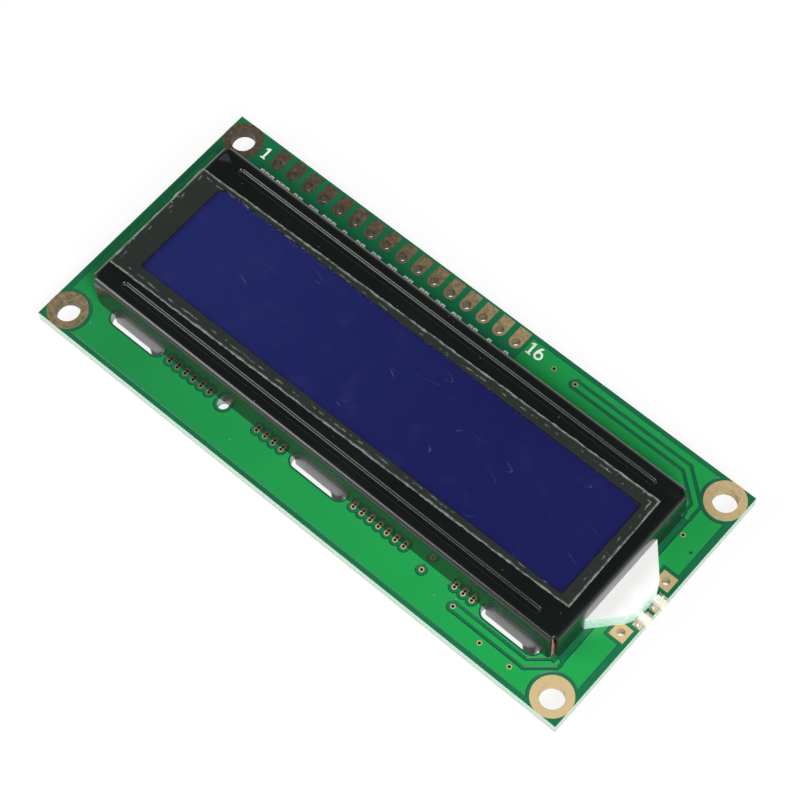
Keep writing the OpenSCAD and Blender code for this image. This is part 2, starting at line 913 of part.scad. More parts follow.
module bezel() {
    color("black")
        difference() {
            union() {
                bezel_face();
                for (side = [0, 1])
                    translate([display_x, display_y, 0])
                        rotate(180 * side) {
                            translate([0, -bezel_width / 2, z_pad])
                                folded_wall(bezel_length - 2 * fold_r);
                            translate([bezel_length / 2, 0, z_pad])
                                rotate(90)
                                    folded_wall(bezel_width - 2 * fold_r);
                        }
                for (side = [-1, 1], x = slot_xs)
                    translate([x, display_y + side * wall_middle, 0])
                        scale([1, -side, 1])
                            mirror([0, 1, 0])
                                bezel_tab();
            }
            // notch for the horn in the lamp-end wall
            translate([bezel_x1 - fold_r - eps, horn_y - notch_half, z_pad - eps])
                cube([fold_r + 2 * eps, 2 * notch_half, notch_top - z_pad + eps]);
        }
}

module protective_film() {
    color("lightsteelblue")
        translate([display_x + film_shift_x, display_y + film_shift_y, z_face + film_thickness / 2])
            rotate(film_turn)
                cube([window_length + 2 * film_margin_x, window_width + 2 * film_margin_y, film_thickness],
                     center = true);
}

// ---- rear side ----

module chip_cover(x) {
    color("black")
        translate([x, 0, 0])
            intersection() {
                translate([0, 0, blob_r - blob_cap])
                    sphere(r = blob_r, $fn = 128);
                translate([0, 0, -blob_height / 2])
                    cube([blob_d, blob_d, blob_height], center = true);
            }
}

module driver_cover() {
    chip_cover(-blob_x);
}

module controller_cover() {
    chip_cover(blob_x);
}

module chip_body(spot) {
    translate([spot[0], spot[1], -chip_height / 2])
        cube([chip_width, chip_length - 2 * chip_end, chip_height], center = true);
}

module chip_resistors() {
    color("black")
        for (spot = resistor_spots)
            chip_body(spot);
}

module chip_capacitors() {
    color("peru")
        for (spot = capacitor_spots)
            chip_body(spot);
}

module chip_ends() {
    color("silver")
        for (spot = concat(resistor_spots, capacitor_spots), s = [-1, 1])
            translate([spot[0], spot[1] + s * (chip_length - chip_end) / 2, -chip_height / 2])
                cube([chip_width, chip_end, chip_height], center = true);
}

// ---- assembly ----

circuit_board();
copper_pour();
rear_copper();
mounting_rings();
terminal_pads();
via_rings();
supply_pads();
lamp_pads();
pin_numbers();
pin_marks();
front_contact_strip();
rear_contact_strip();
front_glass();
rear_glass();
cell_seal();
liquid_layer();
end_seal();
front_polariser();
rear_polariser();
reflector_film();
light_guide();
diffuser_film();
horn_cover();
lamps();
lamp_leads();
solder_joints();
bezel();
protective_film();
driver_cover();
controller_cover();
chip_resistors();
chip_capacitors();
chip_ends();
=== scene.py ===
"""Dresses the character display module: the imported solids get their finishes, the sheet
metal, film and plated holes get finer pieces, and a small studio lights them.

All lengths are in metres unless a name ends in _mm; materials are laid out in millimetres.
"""
from __future__ import annotations

import logging
import math
import random
from dataclasses import dataclass, field
from enum import Enum
from typing import Any, Iterable, Sequence, Union

import bmesh
import bpy
from mathutils import Matrix, Vector
from mathutils.geometry import delaunay_2d_cdt


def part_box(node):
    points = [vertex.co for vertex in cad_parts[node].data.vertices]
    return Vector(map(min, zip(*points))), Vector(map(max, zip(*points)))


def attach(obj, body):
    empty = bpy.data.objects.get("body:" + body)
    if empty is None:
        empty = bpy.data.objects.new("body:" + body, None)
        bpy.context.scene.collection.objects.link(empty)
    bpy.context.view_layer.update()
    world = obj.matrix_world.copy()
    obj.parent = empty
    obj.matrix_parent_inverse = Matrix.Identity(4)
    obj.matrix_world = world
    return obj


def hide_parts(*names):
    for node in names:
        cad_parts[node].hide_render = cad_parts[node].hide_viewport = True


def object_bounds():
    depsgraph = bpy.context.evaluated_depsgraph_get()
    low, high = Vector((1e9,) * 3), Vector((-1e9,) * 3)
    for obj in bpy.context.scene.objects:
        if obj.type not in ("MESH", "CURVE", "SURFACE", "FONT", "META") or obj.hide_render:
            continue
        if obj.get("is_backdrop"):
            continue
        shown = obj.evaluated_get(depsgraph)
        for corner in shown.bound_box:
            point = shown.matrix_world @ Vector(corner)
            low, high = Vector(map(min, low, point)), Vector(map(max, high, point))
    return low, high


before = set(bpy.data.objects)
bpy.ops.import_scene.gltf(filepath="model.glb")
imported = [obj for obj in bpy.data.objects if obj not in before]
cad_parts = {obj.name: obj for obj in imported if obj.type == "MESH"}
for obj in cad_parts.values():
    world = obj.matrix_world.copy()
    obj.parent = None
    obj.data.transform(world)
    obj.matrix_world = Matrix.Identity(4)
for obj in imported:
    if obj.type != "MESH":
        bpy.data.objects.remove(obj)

LOG = logging.getLogger("display_module")
MM = 0.001
BODY = "root"
Material = bpy.types.Material
Colour = tuple[float, float, float]
Point = tuple[float, float, float]
Spot = tuple[float, float]
Face = tuple[int, ...]
Number = Union[int, float, "Sock"]


# ---- shader graph


class Sock:
    """A shader socket that takes part in sums, differences and products."""

    def __init__(self, graph: "Graph", socket: bpy.types.NodeSocket) -> None:
        """Wraps one output socket of a graph."""
        self.graph = graph
        self.socket = socket

    def _sum(self, operation: str, first: Number, second: Number) -> "Sock":
        """Adds one Math node.

        Args:
            operation: the node's operation.
            first: left value.
            second: right value.

        Returns:
            The result's socket.
        """
        node = self.graph.node("Math", {"operation": operation}, {0: first, 1: second})
        return Sock(self.graph, node.outputs[0])

    def __add__(self, other: Number) -> "Sock":
        """self + other."""
        return self._sum("ADD", self, other)

    __radd__ = __add__

    def __sub__(self, other: Number) -> "Sock":
        """self - other."""
        return self._sum("SUBTRACT", self, other)

    def __rsub__(self, other: Number) -> "Sock":
        """other - self."""
        return self._sum("SUBTRACT", other, self)

    def __mul__(self, other: Number) -> "Sock":
        """self * other."""
        return self._sum("MULTIPLY", self, other)

    __rmul__ = __mul__

    def __gt__(self, other: Number) -> "Sock":
        """1 where self is larger, else 0."""
        return self._sum("GREATER_THAN", self, other)

    def __abs__(self) -> "Sock":
        """Distance from zero."""
        return self._sum("ABSOLUTE", self, 0.0)

    def wave(self) -> "Sock":
        """Sine of the value."""
        return self._sum("SINE", self, 0.0)

    def top(self, other: Number) -> "Sock":
        """The larger of two values."""
        return self._sum("MAXIMUM", self, other)

    def low(self, other: Number) -> "Sock":
        """The smaller of two values."""
        return self._sum("MINIMUM", self, other)

    def ramp(self, start: float, end: float) -> "Sock":
        """Smooth step.

        Args:
            start: value that gives 0.
            end: value that gives 1; may be below start.

        Returns:
            A value between 0 and 1.
        """
        low, high, flip = (start, end, False) if start < end else (end, start, True)
        node = self.graph.node(
            "MapRange", {"interpolation_type": "SMOOTHSTEP"}, {0: self, 1: low, 2: high}
        )
        result = Sock(self.graph, node.outputs[0])
        return 1 - result if flip else result


class Graph:
    """The nodes of one material, or of the room."""

    def __init__(self, owner: Material | bpy.types.World) -> None:
        """Starts an empty graph.

        Args:
            owner: the material or world that it belongs to.
        """
        self.owner = owner
        self.owner.use_nodes = True
        self.tree = self.owner.node_tree
        self.tree.nodes.clear()
        self._place: Sock | None = None

    @classmethod
    def named(cls, name: str) -> "Graph":
        """Starts an empty material of that name."""
        return cls(bpy.data.materials.new(name))

    def node(self, kind: str, settings: dict[str, Any] | None = None,
             inputs: dict[Any, Any] | None = None) -> bpy.types.Node:
        """Adds any node.

        Args:
            kind: node type without its ShaderNode prefix.
            settings: attributes, set before the sockets; "stops" fills a colour ramp.
            inputs: socket name or number to a value, a colour or a Sock.

        Returns:
            The node.
        """
        made = self.tree.nodes.new("ShaderNode" + kind)
        for key, value in (settings or {}).items():
            if key == "stops":
                for index, (where, colour) in enumerate(value):
                    elements = made.color_ramp.elements
                    stop = elements[index] if index < 2 else elements.new(where)
                    stop.position, stop.color = where, (*colour, 1.0)
            else:
                setattr(made, key, value)
        for key, value in (inputs or {}).items():
            socket = made.inputs[key]
            if isinstance(value, Sock):
                self.tree.links.new(value.socket, socket)
            elif isinstance(value, tuple) and len(value) == 3 and socket.type == "RGBA":
                socket.default_value = (*value, 1.0)
            else:
                socket.default_value = value
        return made

    @property
    def place(self) -> Sock:
        """Position on the object, in millimetres."""
        if self._place is None:
            spot = self.node("TexCoord").outputs["Object"]
            node = self.node("VectorMath", {"operation": "SCALE"}, {0: Sock(self, spot), "Scale": 1 / MM})
            self._place = Sock(self, node.outputs[0])
        return self._place

    def axes(self) -> tuple[Sock, Sock, Sock]:
        """The three coordinates of the position, in millimetres."""
        split = self.node("SeparateXYZ", None, {0: self.place})
        return tuple(Sock(self, split.outputs[i]) for i in range(3))

    def facing(self) -> tuple[Sock, Sock, Sock]:
        """The three parts of the surface's true normal."""
        normal = Sock(self, self.node("NewGeometry").outputs["True Normal"])
        split = self.node("SeparateXYZ", None, {0: normal})
        return tuple(Sock(self, split.outputs[i]) for i in range(3))

    def noise(self, size_mm: float, detail: float = 3.0, rough: float = 0.55,
              stretch: Colour = (1, 1, 1), shift: float = 0.0) -> Sock:
        """Cloudy noise.

        Args:
            size_mm: how large one cloud is.
            detail: octaves.
            rough: strength of the finer octaves.
            stretch: factors on the three axes.
            shift: moves the pattern.

        Returns:
            A value around 0.5.
        """
        place = self.node("Mapping", None, {"Vector": self.place, "Scale": stretch,
                                            "Location": (shift, shift, shift)})
        node = self.node("TexNoise", None, {
            "Vector": Sock(self, place.outputs[0]), "Scale": 1 / size_mm,
            "Detail": detail, "Roughness": rough})
        return Sock(self, node.outputs[0])

    def specks(self, size_mm: float, share: float, radius: float = 0.25, shift: float = 0.0) -> Sock:
        """Scattered dust.

        Args:
            size_mm: distance between places where a speck may lie.
            share: part of the places that hold one.
            radius: speck radius as a part of that distance.
            shift: moves the pattern.

        Returns:
            1 on a speck, 0 elsewhere.
        """
        place = self.node("Mapping", None, {"Vector": self.place, "Location": (shift, 0, 0)})
        cell = self.node("TexVoronoi", None, {"Vector": Sock(self, place.outputs[0]),
                                              "Scale": 1 / size_mm})
        pick = Sock(self, self.node("SeparateColor", None,
                                    {0: Sock(self, cell.outputs["Color"])}).outputs[0])
        near = Sock(self, cell.outputs["Distance"]).ramp(radius, radius * 0.4)
        return near * (pick > 1 - share)

    def blend(self, factor: Number, first: Any, second: Any) -> Sock:
        """Mixes two colours.

        Args:
            factor: 0 gives the first, 1 the second.
            first: a colour or its socket.
            second: a colour or its socket.

        Returns:
            The mixed colour.
        """
        node = self.node("Mix", {"data_type": "RGBA"}, {0: factor, 6: first, 7: second})
        return Sock(self, node.outputs[2])

    def bump(self, height: Sock, depth_mm: float) -> Sock:
        """A normal from a height.

        Args:
            height: height between 0 and 1.
            depth_mm: what 1 means in millimetres.

        Returns:
            The normal.
        """
        node = self.node("Bump", None, {"Strength": 1.0, "Distance": depth_mm * MM, "Height": height})
        return Sock(self, node.outputs[0])

    def close(self, **sockets: Any) -> Material:
        """Ends the material with a Principled shader.

        Args:
            sockets: shader inputs, with underscores for spaces.

        Returns:
            The material.
        """
        values = {key.replace("_", " "): value for key, value in sockets.items()}
        shader = self.node("BsdfPrincipled", None, values)
        out = self.node("OutputMaterial")
        self.tree.links.new(shader.outputs[0], out.inputs[0])
        return self.owner


# ---- finishes


class Mask(Enum):
    """What lies under the green mask."""

    LAMINATE = "laminate"
    COPPER = "copper"
    SLOPE = "slope"


@dataclass(frozen=True)
class GreenMask:
    """Glossy green solder mask, over bare laminate, over copper or down a copper edge."""

    under: Mask
    laminate: Colour = (0.0040, 0.110, 0.044)
    laminate_light: Colour = (0.0055, 0.145, 0.055)
    copper: Colour = (0.0085, 0.320, 0.062)
    # a darker copy of the copper green: painted shade for the end away from the light, and the colour of
    # the random grain
    copper_shade_and_grain: Colour = (0.0080, 0.170, 0.048)
    # dark green that paints shade down the copper edges; the board's side also turns to it near its foot
    slope: Colour = (0.0030, 0.070, 0.036)
    core: Colour = (0.50, 0.66, 0.53)
    dust: Colour = (0.40, 0.55, 0.42)
    core_shade: float = 0.62
    foot_mm: float = 0.14
    weave_turns: float = 9.0

    def build(self) -> Material:
        """Makes the material."""
        g = Graph.named("green_mask_" + self.under.value)
        cloud, grain = g.noise(14, 3), g.noise(0.35, 4, 0.7)
        x, y, z = g.axes()
        weave = ((x * self.weave_turns).wave() * (y * self.weave_turns).wave()) * 0.5 + 0.5
        if self.under is Mask.COPPER:
            # painted shade: the mask over copper darkens towards the first terminals and the far side,
            # where the light falls off; the clouds in it are random tone
            away = x.ramp(40, -40) * 0.75 + y.ramp(-18, 18) * 0.20 + (cloud - 0.5) * 0.5
            colour = g.blend(away.low(1.0).top(0.0), self.copper, self.copper_shade_and_grain)
            colour = g.blend(grain.ramp(0.5, 0.9) * 0.30, colour, self.copper_shade_and_grain)
        elif self.under is Mask.SLOPE:
            # painted shade: the slopes down the copper edges are dark green, with random grain towards the
            # laminate green
            colour = g.blend(grain.ramp(0.4, 0.9) * 0.5, self.slope, self.laminate)
        else:
            colour = g.blend(cloud.ramp(0.3, 0.7), self.laminate, self.laminate_light)
            colour = g.blend(weave * 0.18, colour, self.laminate_light)
            _, _, up = g.facing()
            fibre = g.noise(0.12, 3, 0.7, (1, 1, 6))
            core = g.blend(fibre.ramp(0.3, 0.7), self.core, tuple(c * self.core_shade for c in self.core))
            # the board's side turns to the dark slope green towards its foot
            core = g.blend(z.ramp(self.foot_mm, self.foot_mm * 0.6), core, self.slope)
            colour = g.blend(abs(up).ramp(0.6, 0.3), colour, core)
        height = g.noise(0.5, 3) * 0.6 + weave * 0.1
        dust = g.specks(1.1, 0.10, 0.10)
        colour = g.blend(dust * 0.4, colour, self.dust)
        return g.close(Base_Color=colour, Roughness=0.30 + grain * 0.18, Normal=g.bump(height, 0.006),
                       Specular_IOR_Level=0.45)


@dataclass(frozen=True)
class PlatedCopper:
    """Bare plated copper, tarnished to a dull brown in spots, with painted shade darkening it towards the
    first terminals.

    Attributes:
        name: material name.
        bright: clean metal.
        tarnish_and_shade_colour: dull metal, the colour of both the tarnished spots and the painted shade.
        start: an even share of the dull colour added everywhere.
    """

    name: str = "plated_copper"
    bright: Colour = (0.62, 0.47, 0.24)
    tarnish_and_shade_colour: Colour = (0.060, 0.044, 0.028)
    start: float = 0.0

    def build(self) -> Material:
        """Makes the material."""
        g = Graph.named(self.name)
        x, y, _ = g.axes()
        # painted shade and real tarnishing: the metal dulls towards the first terminals and the far side,
        # where the light falls off, and random spots of it are tarnished
        tarnish_and_shade_amount = x.ramp(34, -30) * 0.60 + y.ramp(-16, 14) * 0.20 + self.start
        spots = g.noise(0.5, 4, 0.7)
        tarnish_and_shade_amount = (tarnish_and_shade_amount + (spots - 0.5) * 0.7).ramp(0.0, 0.9)
        colour = g.blend(tarnish_and_shade_amount, self.bright, self.tarnish_and_shade_colour)
        return g.close(Base_Color=colour, Metallic=0.25, Roughness=0.40 + spots * 0.25,
                       Normal=g.bump(g.noise(0.25, 4), 0.012))


@dataclass(frozen=True)
class BlackLacquer:
    """Glossy black lacquer on sheet steel, with dust on it."""

    base: Colour = (0.0045, 0.0062, 0.0054)
    dust: Colour = (0.30, 0.32, 0.30)
    smear: float = 2.0

    def build(self) -> Material:
        """Makes the material."""
        g = Graph.named("black_lacquer")
        smear = g.noise(5, 4, 0.6, (0.4, 1, 1))
        dust = g.specks(0.9, 0.10, 0.10).top(g.specks(2.3, 0.12, 0.06, 4.0))
        colour = g.blend(smear.ramp(0.45, 0.8) * 0.35, self.base, tuple(c * self.smear for c in self.base))
        colour = g.blend(dust * 0.35, colour, self.dust)
        return g.close(Base_Color=colour, Roughness=0.16 + smear * 0.16 + dust * 0.3,
                       Specular_IOR_Level=0.5, Coat_Weight=0.25, Coat_Roughness=0.06,
                       Normal=g.bump(g.noise(0.8, 3) * 0.7 + g.noise(0.15, 2) * 0.3, 0.003))


@dataclass(frozen=True)
class BluePolariser:
    """Deep blue display face under its polarising film."""

    deep: Colour = (0.0050, 0.0058, 0.074)
    light: Colour = (0.0095, 0.0140, 0.105)
    dust: Colour = (0.25, 0.28, 0.45)

    def build(self) -> Material:
        """Makes the material."""
        g = Graph.named("blue_polariser")
        x, _, _ = g.axes()
        cloud = g.noise(22, 2)
        colour = g.blend(x.ramp(20, -36) * 0.8 + (cloud - 0.5) * 0.3, self.deep, self.light)
        dust = g.specks(3.1, 0.22, 0.03)
        colour = g.blend(dust * 0.5, colour, self.dust)
        return g.close(Base_Color=colour, Roughness=0.16 + g.noise(6, 3) * 0.12,
                       Specular_IOR_Level=0.30, Normal=g.bump(g.noise(9, 2), 0.008))


@dataclass(frozen=True)
class ClearFilm:
    """Thin clear film: nearly nothing where it is clean, pale where dust caught on its edges.

    Attributes:
        middle: centre of the film, in millimetres.
        half: half its length and width.
        turn: how far it is turned, in degrees.
        haze: colour of dust and scratches.
        window_middle: centre of the window under the film.
        window_half: half the window's length and width.
    """

    middle: Spot
    half: Spot
    turn: float
    haze: Colour = (0.36, 0.42, 0.37)
    window_middle: Spot = (-0.10, -0.40)
    window_half: Spot = (32.1, 7.05)

    def outside(self, x: Sock, y: Sock) -> Sock:
        """1 where the film lies on the bezel, 0 over the window."""
        along, across = (abs(spot - middle) - half for spot, middle, half
                         in zip((x, y), self.window_middle, self.window_half))
        return along.top(across).ramp(-0.05, 0.05)

    def build(self) -> Material:
        """Makes the material."""
        g = Graph.named("clear_film")
        x, y, _ = g.axes()
        c, s = math.cos(math.radians(self.turn)), math.sin(math.radians(self.turn))
        u = (x - self.middle[0]) * c + (y - self.middle[1]) * s
        v = (y - self.middle[1]) * c - (x - self.middle[0]) * s
        ripple = (g.noise(1.6, 3, 0.6) - 0.5) * 0.5
        edge = (self.half[0] - abs(u)).low(self.half[1] - abs(v)) + ripple
        # dust along the edge, and along the mark that the peeled edge left beside it
        rim = edge.ramp(0.30, 0.02) * (0.35 + g.noise(0.6, 3).ramp(0.35, 0.6) * 0.65)
        second = (abs(edge - 0.75)).ramp(0.12, 0.02) * g.noise(1.3, 3).ramp(0.50, 0.66)
        dots = g.specks(0.8, 0.20, 0.16) * edge.ramp(1.6, 0.4)
        dust = g.specks(2.6, 0.10, 0.05, 2.0).top(g.specks(5.0, 0.2, 0.03, 7.0))
        over = self.outside(x, y)
        scratch = (abs(g.noise(5, 0, 0.5, (0.5, 2.2, 1), 3.0) - 0.5)).ramp(0.003, 0.0005)
        scratch = scratch * g.noise(3, 1, 0.5, (1, 1, 1), 9.0).ramp(0.60, 0.70) * 0.12
        smear = g.noise(4, 4, 0.65).ramp(0.5, 0.8) * 0.008
        alpha = 0.006 + smear + over * 0.016 + rim * 0.42 + second * 0.22 + dots * 0.35 + dust * 0.45
        alpha = (alpha + scratch).low(0.92)
        return g.close(Base_Color=self.haze, Alpha=alpha, Roughness=0.22 + g.noise(1, 2) * 0.2,
                       Specular_IOR_Level=0.5, Normal=g.bump(g.noise(1.2, 3), 0.02))


@dataclass(frozen=True)
class StripedRubber:
    """Pink silicone rubber with fine dark conducting stripes across it."""

    pitch_mm: float = 0.10
    silicone: Colour = (0.62, 0.24, 0.24)
    carbon: Colour = (0.16, 0.06, 0.06)

    def build(self) -> Material:
        """Makes the material."""
        g = Graph.named("striped_rubber")
        x, _, _ = g.axes()
        stripe = ((x * (2 * math.pi / self.pitch_mm)).wave() * 0.5 + 0.5).ramp(0.55, 0.85)
        colour = g.blend(stripe * 0.6, self.silicone, self.carbon)
        return g.close(Base_Color=colour, Roughness=0.5 + stripe * 0.2,
                       Normal=g.bump(g.noise(0.3, 3), 0.01))


@dataclass(frozen=True)
class Plain:
    """An even finish with a fine grain.

    Attributes:
        name: material name.
        colour: main colour.
        other: colour of the clouds in it.
        rough: roughness.
        metallic: metal share.
        cloud_mm: size of the clouds.
        grain_mm: size of the grain.
        depth_mm: depth of the grain.
        glow: light scattered inside.
        glow_depth: how deep it goes, in metres.
    """

    name: str
    colour: Colour
    other: Colour
    rough: float = 0.4
    metallic: float = 0.0
    cloud_mm: float = 3.0
    grain_mm: float = 0.3
    depth_mm: float = 0.005
    glow: float = 0.0
    glow_depth: float = 0.002

    def build(self) -> Material:
        """Makes the material."""
        g = Graph.named(self.name)
        cloud, grain = g.noise(self.cloud_mm, 3), g.noise(self.grain_mm, 3)
        colour = g.blend(cloud.ramp(0.35, 0.65), self.colour, self.other)
        return g.close(Base_Color=colour, Metallic=self.metallic,
                       Roughness=self.rough + (grain - 0.5) * 0.2,
                       Subsurface_Weight=self.glow, Subsurface_Scale=self.glow_depth,
                       Normal=g.bump(grain, self.depth_mm))


class Finish(Enum):
    """Every even finish on the module, by the piece it dresses."""

    PRINT = Plain("white_ink", (0.80, 0.82, 0.78), (0.62, 0.66, 0.60), 0.6, depth_mm=0.01)
    GLASS = Plain("clear_glass", (0.010, 0.018, 0.020), (0.012, 0.020, 0.024), 0.10)
    ACRYLIC = Plain("frosted_acrylic", (0.60, 0.80, 0.72), (0.50, 0.72, 0.64), 0.25, glow=0.4)
    RESIN = Plain("cell_resin", (0.55, 0.53, 0.42), (0.48, 0.46, 0.36), 0.4)
    LIQUID = Plain("liquid_layer", (0.010, 0.016, 0.12), (0.012, 0.02, 0.14), 0.2)
    WHITE = Plain("white_film", (0.88, 0.88, 0.87), (0.85, 0.85, 0.84), 0.45, cloud_mm=2.0)
    TIN = Plain("bright_tin", (0.80, 0.80, 0.79), (0.62, 0.62, 0.62), 0.22, 0.85, 0.6)
    COVER = Plain("black_resin", (0.008, 0.008, 0.008), (0.014, 0.013, 0.012), 0.30, cloud_mm=4)
    RESISTOR = Plain("resistor_glaze", (0.02, 0.02, 0.02), (0.03, 0.03, 0.03), 0.4)
    CAPACITOR = Plain("capacitor_body", (0.30, 0.20, 0.12), (0.25, 0.16, 0.09), 0.45)
    LAMP = Plain("lamp_housing", (0.82, 0.80, 0.72), (0.76, 0.73, 0.62), 0.3)


# ---- helpers


def dress(node: str, material: Material) -> None:
    """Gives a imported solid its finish.

    Args:
        node: the solid's name.
        material: what it is dressed in.
    """
    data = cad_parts[node].data
    data.materials.clear()
    data.materials.append(material)
    LOG.info("%s: %s", node, material.name)


def node_box(node: str) -> tuple[Vector, Vector]:
    """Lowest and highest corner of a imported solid, in millimetres."""
    low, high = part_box(node)
    return low / MM, high / MM


def settle(made: bpy.types.Object, sharp: float = 35.0) -> None:
    """Applies a piece's modifiers and keeps its real edges sharp.

    Args:
        made: the piece.
        sharp: smallest angle of a sharp edge, in degrees.
    """
    bpy.context.view_layer.update()
    graph = bpy.context.evaluated_depsgraph_get()
    mesh = bpy.data.meshes.new_from_object(made.evaluated_get(graph))
    made.modifiers.clear()
    made.data = mesh
    mesh.polygons.foreach_set("use_smooth", [True] * len(mesh.polygons))
    mesh.set_sharp_from_angle(angle=math.radians(sharp))


def piece(name: str, points: Sequence[Point], faces: Iterable[Face],
          material: Material, weld: float = 0.0,
          stands_for: Sequence[str] = ()) -> bpy.types.Object:
    """Makes one piece of the module.

    Args:
        name: the piece's name.
        points: corners, in millimetres.
        faces: corner numbers of each face.
        material: the piece's finish.
        weld: corners nearer than this become one, in millimetres.
        stands_for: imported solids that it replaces.

    Returns:
        The piece.
    """
    mesh = bpy.data.meshes.new(name)
    form = bmesh.new()
    corners = [form.verts.new(p) for p in points]
    for face in faces:
        if len(set(face)) == len(face):
            form.faces.new([corners[i] for i in face])
    if weld:
        bmesh.ops.remove_doubles(form, verts=form.verts, dist=weld)
    bmesh.ops.delete(form, geom=[v for v in form.verts if not v.link_faces], context="VERTS")
    bmesh.ops.scale(form, vec=(MM, MM, MM), verts=form.verts)
    form.to_mesh(mesh)
    form.free()
    mesh.materials.append(material)
    made = bpy.data.objects.new(name, mesh)
    bpy.context.scene.collection.objects.link(made)
    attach(made, BODY)
    if stands_for:
        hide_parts(*stands_for)
    LOG.info("%s: %d faces", name, len(mesh.polygons))
    return made


def outlines(node: str, level: float, up: float, flat: float = 0.99,
             near: float = 0.004) -> list[list[Point]]:
    """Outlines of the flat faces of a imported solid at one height.

    Args:
        node: the solid's name.
        level: height of the faces, in millimetres.
        up: 1 for faces that look up, -1 for faces that look down.
        flat: least upright part of such a face's normal.
        near: how far its corners may lie from the height, in millimetres.

    Returns:
        Closed loops of corners; the material lies on the left of each, seen from the side
        that the faces look at.
    """
    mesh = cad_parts[node].data
    key = [tuple(round(c / MM, 4) for c in v.co) for v in mesh.vertices]
    edges: dict[tuple[Point, Point], None] = {}
    for face in mesh.polygons:
        ring = [key[i] for i in face.vertices]
        if face.normal.z * up < flat or any(abs(p[2] - level) > near for p in ring):
            continue
        edges.update({pair: None for pair in zip(ring, ring[1:] + ring[:1]) if pair[0] != pair[1]})
    after = {one: two for one, two in edges if (two, one) not in edges}
    loops: list[list[Point]] = []
    while after:
        start, at = after.popitem()
        loop = [start]
        while at != start and at in after:
            loop.append(at)
            at = after.pop(at)
        if len(loop) > 2:
            loops.append(loop)
    return loops


# ---- board trim


@dataclass
class BoardTrim:
    """Mask slopes along the copper and the plating inside the holes.

    Attributes:
        skin: how far a piece stands off the solid that it lies on.
        lip_share: part of the thickness that the rim keeps.
        narrow: holes of a smaller radius are vias.
        largest: holes of a larger radius are none of these.
        unround: how much a hole's radius may differ round it.
        locating: radii between which a hole has no plating.
        sharp_turn: shortest sum of two edge directions that still gives their middle.
        mitre: least share of the width at an outer corner.
    """

    slope_width: float = 0.13
    skin: float = 0.003
    plating: float = 0.03
    lip: float = 0.05
    lip_share: float = 0.3
    narrow: float = 0.3
    largest: float = 3.0
    unround: float = 0.02
    locating: Spot = (0.70, 0.80)
    sharp_turn: float = 0.3
    mitre: float = 0.7
    ring_points: int = 28

    def slopes(self, name: str, node: str, up: float, material: Material) -> None:
        """Runs the mask down along every copper outline of one side.

        Args:
            name: the piece's name.
            node: the copper.
            up: 1 for the front side, -1 for the rear.
            material: the mask.
        """
        low, high = node_box(node)
        level, foot = (high.z, low.z) if up > 0 else (low.z, high.z)
        points: list[Point] = []
        faces: list[Face] = []
        for loop in outlines(node, level, up):
            ways = []
            for one, two in zip(loop, loop[1:] + loop[:1]):
                dx, dy = two[0] - one[0], two[1] - one[1]
                size = math.hypot(dx, dy) or 1.0
                ways.append((dy / size * up, -dx / size * up))
            start, count = len(points), len(loop)
            for i, corner in enumerate(loop):
                (ax, ay), (bx, by) = ways[i - 1], ways[i]
                mx, my = ax + bx, ay + by
                size = math.hypot(mx, my)
                if size < self.sharp_turn:
                    mx, my, size = bx, by, 1.0
                grow = self.slope_width / max((mx * bx + my * by) / size, self.mitre) / size
                points.append((corner[0], corner[1], level + up * self.skin))
                points.append((corner[0] + mx * grow, corner[1] + my * grow, foot + up * self.skin))
            for i in range(count):
                a, b = start + 2 * i, start + 2 * ((i + 1) % count)
                faces.append((a, a + 1, b + 1, b) if up > 0 else (a, b, b + 1, a + 1))
        piece(name, points, faces, material)

    def barrels(self, wide: Material, dark: Material) -> None:
        """Lines the drilled holes with plating.

        Args:
            wide: finish inside the large holes.
            dark: finish inside the small ones, near black as painted shade down the narrow holes.
        """
        low, high = node_box("circuit_board")
        _, pads = node_box("terminal_pads")
        top, foot = pads.z - self.skin, low.z - (pads.z - high.z) + self.skin
        stock: dict[bool, tuple[list[Point], list[Face]]] = {True: ([], []), False: ([], [])}
        for loop in outlines("circuit_board", high.z, 1):
            cx, cy = (sum(p[i] for p in loop) / len(loop) for i in (0, 1))
            radii = [math.hypot(p[0] - cx, p[1] - cy) for p in loop]
            radius = max(radii)
            if radius - min(radii) > self.unround or radius > self.largest:
                continue
            if self.locating[0] < radius < self.locating[1]:
                continue
            points, faces = stock[radius > self.narrow]
            outer, inner = radius - self.skin, radius - self.plating
            rim = inner + self.lip_share * self.plating
            profile = [(outer, top), (rim, top), (inner, top - self.lip),
                       (inner, foot + self.lip), (rim, foot), (outer, foot)]
            start, rows = len(points), len(profile)
            for k in range(self.ring_points):
                c, s = (f(2 * math.pi * k / self.ring_points) for f in (math.cos, math.sin))
                points.extend((cx + r * c, cy + r * s, z) for r, z in profile)
            for k in range(self.ring_points):
                a, b = start + k * rows, start + (k + 1) % self.ring_points * rows
                for j in range(rows):
                    n = (j + 1) % rows
                    faces.append((a + j, a + n, b + n, b + j))
        for big, name, material in ((True, "hole_plating", wide), (False, "via_plating", dark)):
            points, faces = stock[big]
            if faces:
                settle(piece(name, points, faces, material), 50)

    def build(self) -> None:
        """Makes all the trim."""
        # the slopes are dark green: painted shade along the copper edges
        slope = GreenMask(Mask.SLOPE).build()
        self.slopes("front_mask_slopes", "copper_pour", 1, slope)
        self.slopes("rear_mask_slopes", "rear_copper", -1, slope)
        # the vias' plating is near black: painted shade down the narrow holes
        self.barrels(PlatedCopper("hole_copper", start=0.05).build(),
                     PlatedCopper("via_painted_shade_copper", (0.05, 0.04, 0.03), (0.012, 0.010, 0.009)).build())


# ---- bezel


